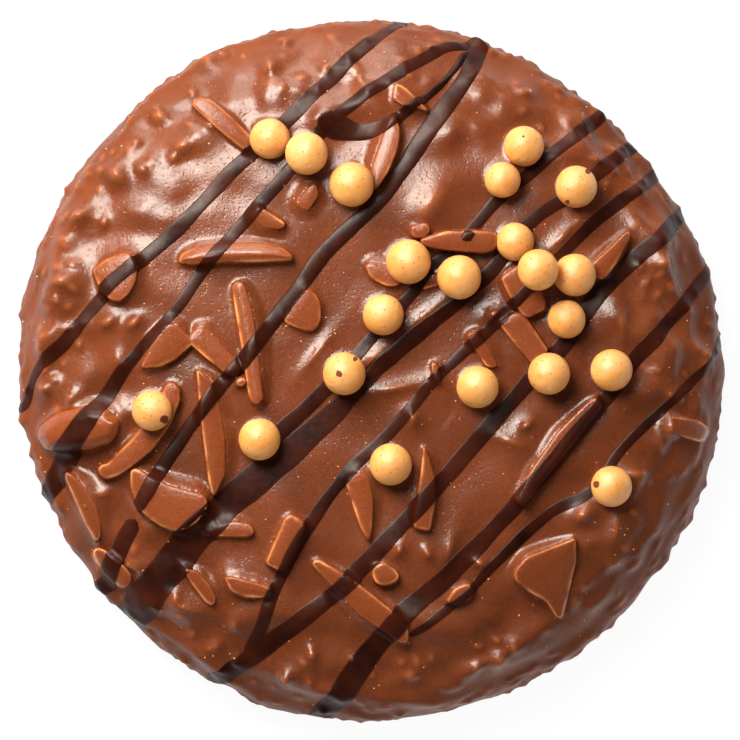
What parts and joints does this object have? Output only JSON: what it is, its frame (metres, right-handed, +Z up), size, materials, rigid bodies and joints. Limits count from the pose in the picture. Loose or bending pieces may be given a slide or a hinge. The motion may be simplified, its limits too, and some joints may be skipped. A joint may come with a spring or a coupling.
{
  "type": "chocolate lebkuchen biscuit",
  "caption": "Round gingerbread biscuit under milk chocolate, with chocolate shards, dark drizzle strands and crisp yellow pearls on top.",
  "frame": {"origin": "middle of the flat base", "axes": "+Z up through the crown, +Y towards the top of the picture, +X to its right"},
  "size_m": [0.0958, 0.0954, 0.0224],
  "materials": {
    "milk_chocolate": "satin milk chocolate with dark chocolate strands",
    "pearl": "satin yellow glaze with tiny pits"
  },
  "bodies": {
    "root": {"biscuit": "milk_chocolate", "pearl_01": "pearl", "pearl_02": "pearl", "pearl_03": "pearl", "pearl_04": "pearl", "pearl_05": "pearl", "pearl_06": "pearl", "pearl_07": "pearl", "pearl_08": "pearl", "pearl_09": "pearl", "pearl_10": "pearl", "pearl_11": "pearl", "pearl_12": "pearl", "pearl_13": "pearl", "pearl_14": "pearl", "pearl_15": "pearl", "pearl_16": "pearl", "pearl_17": "pearl", "pearl_18": "pearl", "pearl_19": "pearl", "pearl_20": "pearl", "pearl_21": "pearl"}
  },
  "joints": []
}
